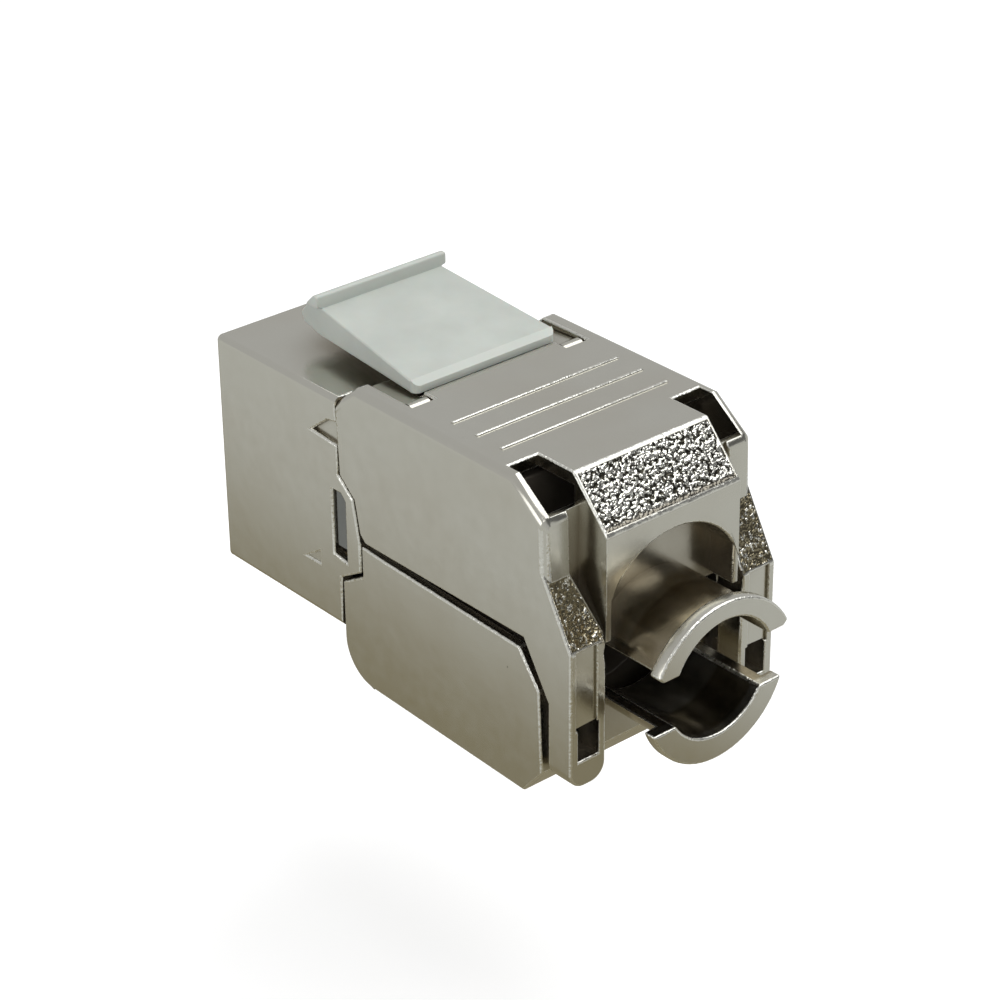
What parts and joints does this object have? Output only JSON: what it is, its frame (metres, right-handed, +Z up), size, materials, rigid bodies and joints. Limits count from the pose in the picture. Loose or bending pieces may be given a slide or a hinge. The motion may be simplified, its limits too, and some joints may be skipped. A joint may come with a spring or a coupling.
{
  "type": "keystone jack",
  "caption": "Shielded tool-free keystone jack: plated cast housing with a modular plug opening, a spring panel latch, and two hinged half shells that close like a jaw over the cable.",
  "frame": {"origin": "centre of the plug opening, in the plane of the plug face", "axes": "+Y from the plug face towards the cable, +Z up towards the panel latch, X across the jack"},
  "size_m": [0.0146, 0.0333, 0.0209],
  "materials": {
    "nickel_cast": "satin nickel plate on a zinc casting",
    "latch_plastic": "smooth moulded, slightly glossy",
    "insert_plastic": "moulded black",
    "pale_plastic": "moulded pale grey",
    "manager_plastic": "moulded black",
    "board_laminate": "coated glass laminate",
    "gold_contact": "gold-plated bronze",
    "tinned_blade": "tin-plated bronze",
    "steel_pin": "ground",
    "spring_sheet": "rolled sheet"
  },
  "bodies": {
    "housing": {"front_housing": "nickel_cast", "port_insert": "insert_plastic", "contact_1": "gold_contact", "contact_2": "gold_contact", "contact_3": "gold_contact", "contact_4": "gold_contact", "contact_5": "gold_contact", "contact_6": "gold_contact", "contact_7": "gold_contact", "contact_8": "gold_contact", "circuit_board": "board_laminate", "idc_block": "pale_plastic", "idc_blade_1": "tinned_blade", "idc_blade_2": "tinned_blade", "idc_blade_3": "tinned_blade", "idc_blade_4": "tinned_blade", "idc_blade_5": "tinned_blade", "idc_blade_6": "tinned_blade", "idc_blade_7": "tinned_blade", "idc_blade_8": "tinned_blade", "wire_manager": "manager_plastic", "upper_hinge_pins": "steel_pin", "lower_hinge_pins": "steel_pin", "shield_spring_right": "spring_sheet", "shield_spring_left": "spring_sheet"},
    "upper_jaw": {"upper_shell": "nickel_cast"},
    "lower_jaw": {"lower_shell": "nickel_cast"},
    "panel_latch": {"latch": "latch_plastic"}
  },
  "joints": [
    {"name": "upper_shell_hinge", "type": "hinge", "parent": "housing", "child": "upper_jaw", "pos_m": [0, 0.0154, 0.00758], "axis": [1, 0, 0], "range_deg": [0, 80]},
    {"name": "lower_shell_hinge", "type": "hinge", "parent": "housing", "child": "lower_jaw", "pos_m": [0, 0.0133, -0.00758], "axis": [-1, 0, 0], "range_deg": [0, 80]},
    {"name": "latch_press", "type": "hinge", "parent": "housing", "child": "panel_latch", "pos_m": [0, 0.01335, 0.0075], "axis": [1, 0, 0], "range_deg": [0, 5], "stiffness_Nm_per_rad": 0.4}
  ]
}
